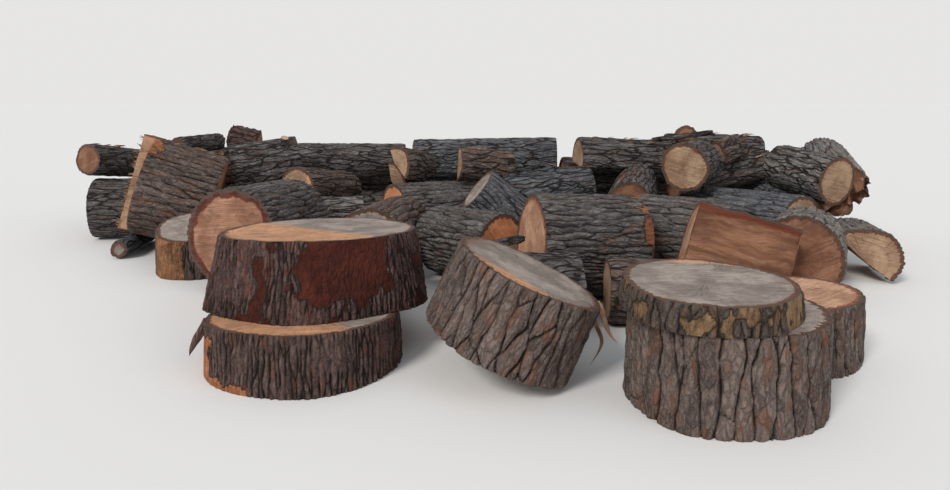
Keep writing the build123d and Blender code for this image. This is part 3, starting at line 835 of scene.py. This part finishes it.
def cut_material(name, pale, deep, stain, turn, rim=0.032, ring=(0.18, 0.08, 0.048),
                 sunlit_and_hinge_wood=(0.7, 0.34, 0.165)):
    """A sawn end: faint rings, saw scratches, stains, fine checks, a painted sunlit side (a hinge strip on
    the felled log), and the bark's ring at its edge.
    """
    paint = Paint(name, 0.8)
    place = paint.read("place", "Vector")
    broad = paint.noise(place, 5.0)
    patches = paint.noise(place, 13.0, 5.0, 0.65)
    fine = paint.noise(place, 130.0, 3.0)

    # Year rings, broader bands of growth, and checks that run out from the pith
    flat = paint.vector_math("MULTIPLY", paint.read("grain", "Vector"), (1, 1, 0))
    radius = paint.vector_math("LENGTH", flat, output="Value")
    grown = paint.weighted((radius, 1.0), (paint.noise(place, 7.0, 2.0), 0.03))
    rings = paint.math("SINE", paint.times(grown, FULL_TURN / YEAR_RING))
    rings = paint.math("MULTIPLY_ADD", rings, 0.5, 0.5)
    band_at = paint.node("ShaderNodeCombineXYZ", {"X": paint.times(grown, 34.0)})
    bands = paint.ramp(paint.noise(band_at, 1.0, 3.0, 0.7), 0.42, 0.6)
    direction = paint.scaled(paint.vector_math("NORMALIZE", flat), (7, 7, 1))
    check_at = paint.vector_math("ADD", direction, paint.scaled(place, (1.4, 1.4, 1.4)))
    checks = paint.math("ABSOLUTE", paint.math("SUBTRACT", paint.noise(check_at, 1.0, 2.0), 0.5))
    checks = paint.times(paint.ramp(checks, 0.013, 0.0), paint.ramp(broad, 0.44, 0.54))

    # The saw's marks
    sawn = paint.turned(place, turn)
    scratches = paint.noise(sawn, (4, 190, 4), 3.0)
    wide_marks = paint.noise(paint.turned(sawn, 0.07), (2.2, 42, 2.2), 2.0)
    lines = paint.ramp(paint.weighted((scratches, 0.6), (wide_marks, 0.6)), 0.46, 0.74)
    cuts = paint.ramp(paint.noise(paint.turned(sawn, -0.05), (3, 95, 3), 2.0), 0.6, 0.7)
    specks = paint.ramp(paint.noise(place, 70.0, 2.0), 0.66, 0.71)
    dark_lines = paint.math("MAXIMUM", paint.times(cuts, 0.5), paint.times(checks, 0.7))
    dark_lines = paint.math("MAXIMUM", dark_lines, paint.times(specks, 0.5))

    colour = paint.mix(paint.ramp(broad, 0.38, 0.62), pale, deep)
    colour = paint.over(colour, paint.ramp(patches, 0.5, 0.72), 0.5, stain)
    # The painted sunlit side in a fresh-wood colour, and the felled log's hinge strip
    warm = paint.mix(paint.ramp(patches, 0.38, 0.7), sunlit_and_hinge_wood, toned(sunlit_and_hinge_wood, 0.74))
    colour = paint.mix(paint.read("tone"), colour, warm)
    colour = paint.over(colour, paint.read("bare"), 0.75, STAINED)
    colour = paint.over(colour, bands, 0.3, toned(deep, 0.62))
    colour = paint.over(colour, paint.ramp(radius, 0.1, 0.01), 0.35, stain)
    bright = paint.node("ShaderNodeHueSaturation", {"Value": 1.35, "Saturation": 0.85, "Color": colour})
    colour = paint.over(colour, lines, 0.5, bright)
    ring_share = paint.times(paint.ramp(broad, 0.35, 0.6), 0.3)
    colour = paint.over(colour, rings, ring_share, toned(deep, 0.35))
    colour = paint.mix(dark_lines, colour, toned(deep, 0.3))

    # The inner bark's ring and the outer bark round the wood
    ragged = paint.times(paint.math("SUBTRACT", patches, 0.5), rim * 1.3)
    from_rim = paint.math("ADD", paint.read("rim"), ragged)
    bark_ring = paint.mix(paint.ramp(patches, 0.42, 0.6), ring, toned(ring, 0.6))
    colour = paint.mix(paint.ramp(from_rim, rim, rim * 0.82), colour, bark_ring)
    colour = paint.mix(paint.ramp(from_rim, rim * 0.48, rim * 0.34), colour, RIM_BARK)
    height = paint.weighted((lines, 1.0), (fine, 0.35), (dark_lines, -1.0))
    return paint.done(colour, height, 0.0035)


def split_material(name, pale, deep, dark):
    """Wood torn along its grain, in long fibres."""
    paint = Paint(name, 0.85)
    place = paint.read("place", "Vector")
    bent = paint.bent(place, 3.0, (0.14, 0.14, 0.2))
    strands = paint.noise(bent, (170, 170, 7), 4.0, 0.65)
    bands = paint.noise(bent, (22, 22, 1.6))
    broad = paint.noise(bent, (6, 6, 3))
    fine = paint.noise(place, 150.0, 3.0)
    colour = paint.mix(paint.ramp(bands, 0.4, 0.6), pale, deep)
    colour = paint.over(colour, paint.ramp(broad, 0.46, 0.64), 0.65, dark)
    colour = paint.over(colour, paint.ramp(strands, 0.5, 0.72), 0.55, dark)
    colour = paint.over(colour, paint.ramp(fine, 0.6, 0.72), 0.35, toned(pale, 1.4))
    from_rim = paint.read("rim")
    ragged = paint.times(paint.math("SUBTRACT", broad, 0.5), 0.1)
    colour = paint.mix(paint.ramp(paint.math("ADD", from_rim, ragged), 0.06, 0.04), colour, INNER_RIM)
    colour = paint.mix(paint.ramp(from_rim, 0.016, 0.011), colour, RIM_BARK)
    return paint.done(colour, paint.weighted((strands, 1.0), (bands, 0.8)), 0.01)


# Each bark: its dark and light scales, reddish patches, the inner bark's dark and light, and its lichen
BARK_COLOURS = {
    "furrowed": ((0.062, 0.045, 0.039), (0.25, 0.19, 0.165), (0.21, 0.088, 0.047),
        (0.16, 0.05, 0.025), (0.4, 0.175, 0.075)),
    "purple": ((0.046, 0.026, 0.025), (0.18, 0.112, 0.1), (0.19, 0.055, 0.035),
        (0.038, 0.008, 0.005), (0.078, 0.018, 0.01)),
    "ember": ((0.046, 0.028, 0.026), (0.18, 0.118, 0.102), (0.18, 0.06, 0.036),
              (0.24, 0.075, 0.032), (0.46, 0.195, 0.095)),
    "grey": ((0.05, 0.046, 0.046), (0.23, 0.21, 0.2), (0.15, 0.085, 0.06),
             (0.13, 0.045, 0.025), (0.25, 0.1, 0.05)),
    "flaky": ((0.085, 0.078, 0.074), (0.36, 0.325, 0.3), (0.19, 0.12, 0.085),
              (0.17, 0.07, 0.038), (0.36, 0.19, 0.095), 0.5),
    "blue_grey": ((0.048, 0.051, 0.06), (0.22, 0.225, 0.245), (0.13, 0.09, 0.075),
        (0.16, 0.06, 0.03), (0.34, 0.16, 0.08), 0.5),
    "yellow": ((0.036, 0.03, 0.028), (0.16, 0.12, 0.1), (0.2, 0.1, 0.05),
        (0.07, 0.038, 0.021), (0.25, 0.155, 0.082)),
    "amber": ((0.04, 0.028, 0.026), (0.17, 0.12, 0.1), (0.18, 0.08, 0.045),
              (0.095, 0.042, 0.021), (0.27, 0.13, 0.062)),
}
BARKS = {(name, far): bark_material(f"bark_{name}_far" if far else f"bark_{name}", *colours, cracked=far)
         for name, colours in BARK_COLOURS.items() for far in (False, True)}
# Each sawn end: three tones, the direction of the saw's marks, the bark ring's width and colour, and
# the colour of its painted sunlit side and hinge strip
CUT_COLOURS = {
    "grey": ((0.42, 0.355, 0.31), (0.3, 0.245, 0.21), (0.2, 0.155, 0.13), 1.42),
    "pinkish": ((0.62, 0.36, 0.225), (0.47, 0.25, 0.15), (0.33, 0.16, 0.095), 0.9,
        0.042, (0.34, 0.12, 0.065)),
    # The wood's own orange, brightened with painted sunlight
    "orange": ((0.84, 0.39, 0.18), (0.68, 0.27, 0.11), (0.46, 0.165, 0.07), 0.6),
    "tan": ((0.46, 0.3, 0.185), (0.35, 0.205, 0.12), (0.24, 0.135, 0.08), 1.3),
    "brown": ((0.33, 0.155, 0.085), (0.23, 0.1, 0.055), (0.14, 0.058, 0.034), 2.1),
    "salmon": ((0.41, 0.205, 0.122), (0.31, 0.142, 0.082), (0.21, 0.092, 0.052), 1.57,
        0.064, (0.15, 0.042, 0.026)),
    "felled": ((0.48, 0.22, 0.125), (0.34, 0.14, 0.075), (0.2, 0.085, 0.05), 0.0,
        0.01, (0.3, 0.11, 0.06), (0.4, 0.245, 0.145)),
}
CUTS = {name: cut_material(f"cut_{name}", *colours) for name, colours in CUT_COLOURS.items()}
# Each split face: its pale and deep wood, and the dark of its fibres
SPLIT_COLOURS = {
    "tan": ((0.43, 0.27, 0.155), (0.31, 0.17, 0.092), (0.16, 0.078, 0.045)),
    "red": ((0.36, 0.16, 0.085), (0.24, 0.095, 0.05), (0.11, 0.042, 0.026)),
    "russet": ((0.33, 0.165, 0.095), (0.22, 0.098, 0.056), (0.11, 0.042, 0.026)),
}
SPLITS = {name: split_material(f"split_{name}", *colours) for name, colours in SPLIT_COLOURS.items()}

# Bark plates as (wide, tall, deep)
BROAD = (0.088, 0.44, 0.021)
WOVEN = (0.072, 0.27, 0.02)
USUAL = (0.06, 0.3, 0.015)
RIDGED = (0.046, 0.26, 0.015)
FINE = (0.045, 0.2, 0.01)
FIBROUS = (0.027, 0.2, 0.01)
LOW_PLATES = (0.05, 0.12, 0.012)
FLAKES = (0.075, 0.13, 0.012)
STRINGS = (0.03, 0.4, 0.012)
TWIG = (0.02, 0.06, 0.003)

# Hanging strips: the way to the corner they hang from, their material's slot, half width, and path
WOOD_STRIP = ((1, 0, 1), 1, 0.014,
              [(-0.01, 0, 0), (0.02, -0.01, -0.06), (0.045, -0.02, -0.14), (0.1, -0.02, -0.21)])
TORN_STRIP = ((1, 0, 1), 2, 0.011,
              [(-0.03, -0.02, -0.06), (0, -0.03, -0.15), (0.01, -0.04, -0.21), (-0.05, -0.05, -0.32)])
BARK_STRIP = ((-1, -0.3, 0.6), 0, 0.022,
              [(0.02, 0, 0), (-0.015, -0.01, -0.06), (-0.05, -0.02, -0.12), (-0.08, -0.02, -0.19)])

# How each node looks: bark, sawn end, plates, how finely it is drawn, and split face. Then bare patches as
# (from angle, to angle, from height share, to height share), how rare scattered ones are, deep grooves as
# (angle, half width, depth), painted sunlit sides and stained sides of the sawn ends as (angle, from, over)
# in radii, the half width of a broken strip, and splinters as (where, how many, how long)
def looks(bark, cut, plate=USUAL, detail="far", split="tan", **more):
    return dict(bark=bark, cut=cut, plate=plate, detail=detail, split=split, **more)


LOOKS = {
    "front_right_round": looks("furrowed", "grey", BROAD, "near"),
    "leaning_round": looks("furrowed", "grey", WOVEN, "near", warm=(-26, 0.6, 0.05),
        stained=(-118, 0.5, 0.35), hanging=[WOOD_STRIP, TORN_STRIP]),
    "low_left_round": looks("ember", "grey", FIBROUS, "near", warm=(-55, -0.15, 0.2),
        bare=[(-84, -46, 0.0, 0.8), (-50, -18, 0.0, 0.16)], hanging=[BARK_STRIP]),
    "butt_round": looks("purple", "grey", FIBROUS, "near", bare=[(2, 51, 0.28, 1.0)],
        patchy=0.62, warm=(-40, 0.0, 0.16), flutes=[(-68, 0.03, 0.03), (-54, 0.022, 0.018)]),
    "right_end_round": looks("furrowed", "pinkish", USUAL, "near"),
    "front_right_slab": looks("yellow", "grey", LOW_PLATES, "near", patchy=0.55, warm=(163, 0.74, 0.04)),
    "split_half_log": looks("purple", "pinkish", USUAL, "middle", "russet"),
    "flaky_log": looks("flaky", "brown", FLAKES, "middle"),
    "barrel_log": looks("grey", "pinkish", RIDGED, "middle",
        bare=[(-200, 200, 0.94, 1.0)], stained=(180, 0.6, 0.03)),
    "right_neighbour_log": looks("grey", "tan", USUAL, "middle"),
    "front_facing_log": looks("grey", "orange", RIDGED, "middle"),
    "grey_end_log": looks("furrowed", "grey", USUAL, "middle"),
    "red_rimmed_log": looks("grey", "salmon", RIDGED, "middle"),
    "small_left_round": looks("amber", "grey", USUAL, "middle",
        bare=[(-64, 5, 0.0, 1.0)], warm=(140, 0.5, 0.06)),
    "felled_log": looks("furrowed", "felled", USUAL, "middle", strip=0.026,
        bare=[(-34, 44, 0.0, 0.13)], splinters=[("strip", 70, 0.06), ("top", 8, 0.12)]),
    "pale_end_log": looks("blue_grey", "tan", RIDGED, "middle"),
    "sunlit_end_log": looks("grey", "orange", RIDGED, "middle"),
    "tan_split_log": looks("flaky", "tan", FINE, "middle"),
    "dark_end_log": looks("grey", "brown", USUAL, patchy=0.66),
    "rounded_end_log": looks("furrowed", "tan", USUAL, warm=(90, 0.62, 0.05)),
    "broken_stump": looks("flaky", "brown", USUAL, "middle", splinters=[("end", 60, 0.07)]),
    "quarter_split": looks("furrowed", "tan", FINE, split="red"),
    "upper_left_splits": looks("purple", "tan", FINE),
    "upper_middle_splits": looks("furrowed", "tan", FINE, split="red"),
    "tilted_log": looks("blue_grey", "grey", FINE, "middle"),
    "tan_end_log": looks("grey", "tan", USUAL),
    "stub_log": looks("blue_grey", "brown", FINE),
    "mossy_log": looks("flaky", "tan", FINE),
    "short_upper_log": looks("grey", "grey", FINE),
    "stringy_logs": looks("grey", "brown", STRINGS, splinters=[("top", 12, 0.14)]),
    "small_round_log": looks("furrowed", "brown", FINE),
    "ridge_slab": looks("grey", "tan", USUAL, splinters=[("top", 10, 0.12)]),
    "thin_branches": looks("grey", "tan", TWIG),
}
USUAL_CUTS = ("tan", "brown", "grey", "salmon", "pinkish")
USUAL_BARKS = ("furrowed", "grey", "blue_grey", "grey", "flaky")

salt = 0
for node in sorted(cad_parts):
    for number, (points, triangles) in enumerate(solids_of(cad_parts[node])):
        salt += 1
        usual = looks(USUAL_BARKS[salt % len(USUAL_BARKS)], USUAL_CUTS[salt % len(USUAL_CUTS)])
        look = LOOKS.get(node, usual)
        builder = Builder()
        build_log(builder, Shape(points, triangles), look, salt)
        materials = [BARKS[look["bark"], look["detail"] == "far"], CUTS[look["cut"]], SPLITS[look["split"]]]
        piece = builder.finish(f"{node}_{number + 1}", materials)
        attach(piece, "root")
        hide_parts(node)


# Floor, light and camera

PALE = (0.8, 0.795, 0.785)
SKY = (0.93, 0.96, 1.0)
SUNLIGHT = (1.0, 0.97, 0.92)
FLOOR_REACH = 80.0
EYE = (0.117, -5.958, 1.45)     # where the photograph was taken from
EYE_TILT = 82                   # degrees up from straight down


def make_floor():
    mesh = bpy.data.meshes.new("floor")
    corners = [(x * FLOOR_REACH, y * FLOOR_REACH, 0) for x, y in ((-1, -1), (1, -1), (1, 1), (-1, 1))]
    mesh.from_pydata(corners, [], [(0, 1, 2, 3)])
    material = bpy.data.materials.new("floor")
    material.use_nodes = True
    shader = material.node_tree.nodes["Principled BSDF"]
    shader.inputs["Base Color"].default_value = (*PALE, 1)
    shader.inputs["Roughness"].default_value = 0.9
    mesh.materials.append(material)
    return in_scene("floor", mesh)


def make_world():
    """A soft sky for light, and a pale backdrop where a ray looks straight at it."""
    world = bpy.data.worlds.new("world")
    world.use_nodes = True
    tree = world.node_tree
    sky = tree.nodes["Background"]
    sky.inputs["Color"].default_value = (*SKY, 1)
    sky.inputs["Strength"].default_value = 0.54
    backdrop = add_node(tree, "ShaderNodeBackground", {"Color": (*PALE, 1), "Strength": 0.99})
    shown = 0.0
    for kind in ("Is Camera Ray", "Is Glossy Ray", "Is Transmission Ray"):
        ray = add_node(tree, "ShaderNodeLightPath", {}, kind)
        shown = add_node(tree, "ShaderNodeMath", {0: shown, 1: ray}, operation="MAXIMUM")
    either = add_node(tree, "ShaderNodeMixShader", {0: shown, 1: sky.outputs[0], 2: backdrop})
    tree.links.new(either, tree.nodes["World Output"].inputs["Surface"])
    return world


def soft_sun(name, towards, strength, spread, colour=(1, 1, 1)):
    light = bpy.data.lights.new(name, "SUN")
    light.angle = math.radians(spread)
    light.energy = strength
    light.color = colour
    in_scene(name, light).rotation_euler = Vector(towards).to_track_quat("-Z", "Y").to_euler()


def make_camera():
    camera = bpy.data.cameras.new("camera")
    camera.sensor_width = 36
    camera.lens = 25.77
    camera.shift_y = -0.0603
    camera.clip_end = 200
    eye = in_scene("camera", camera)
    eye.location = EYE
    eye.rotation_euler = (math.radians(EYE_TILT), 0, 0)
    return eye


floor = make_floor()
bpy.context.scene.world = make_world()
soft_sun("key", (0.55, 0.75, -0.75), 2.0, 16, SUNLIGHT)
soft_sun("fill", (-0.8, 0.55, -0.5), 0.5, 40)
bpy.context.scene.camera = make_camera()
bpy.context.scene.view_settings.view_transform = "Standard"
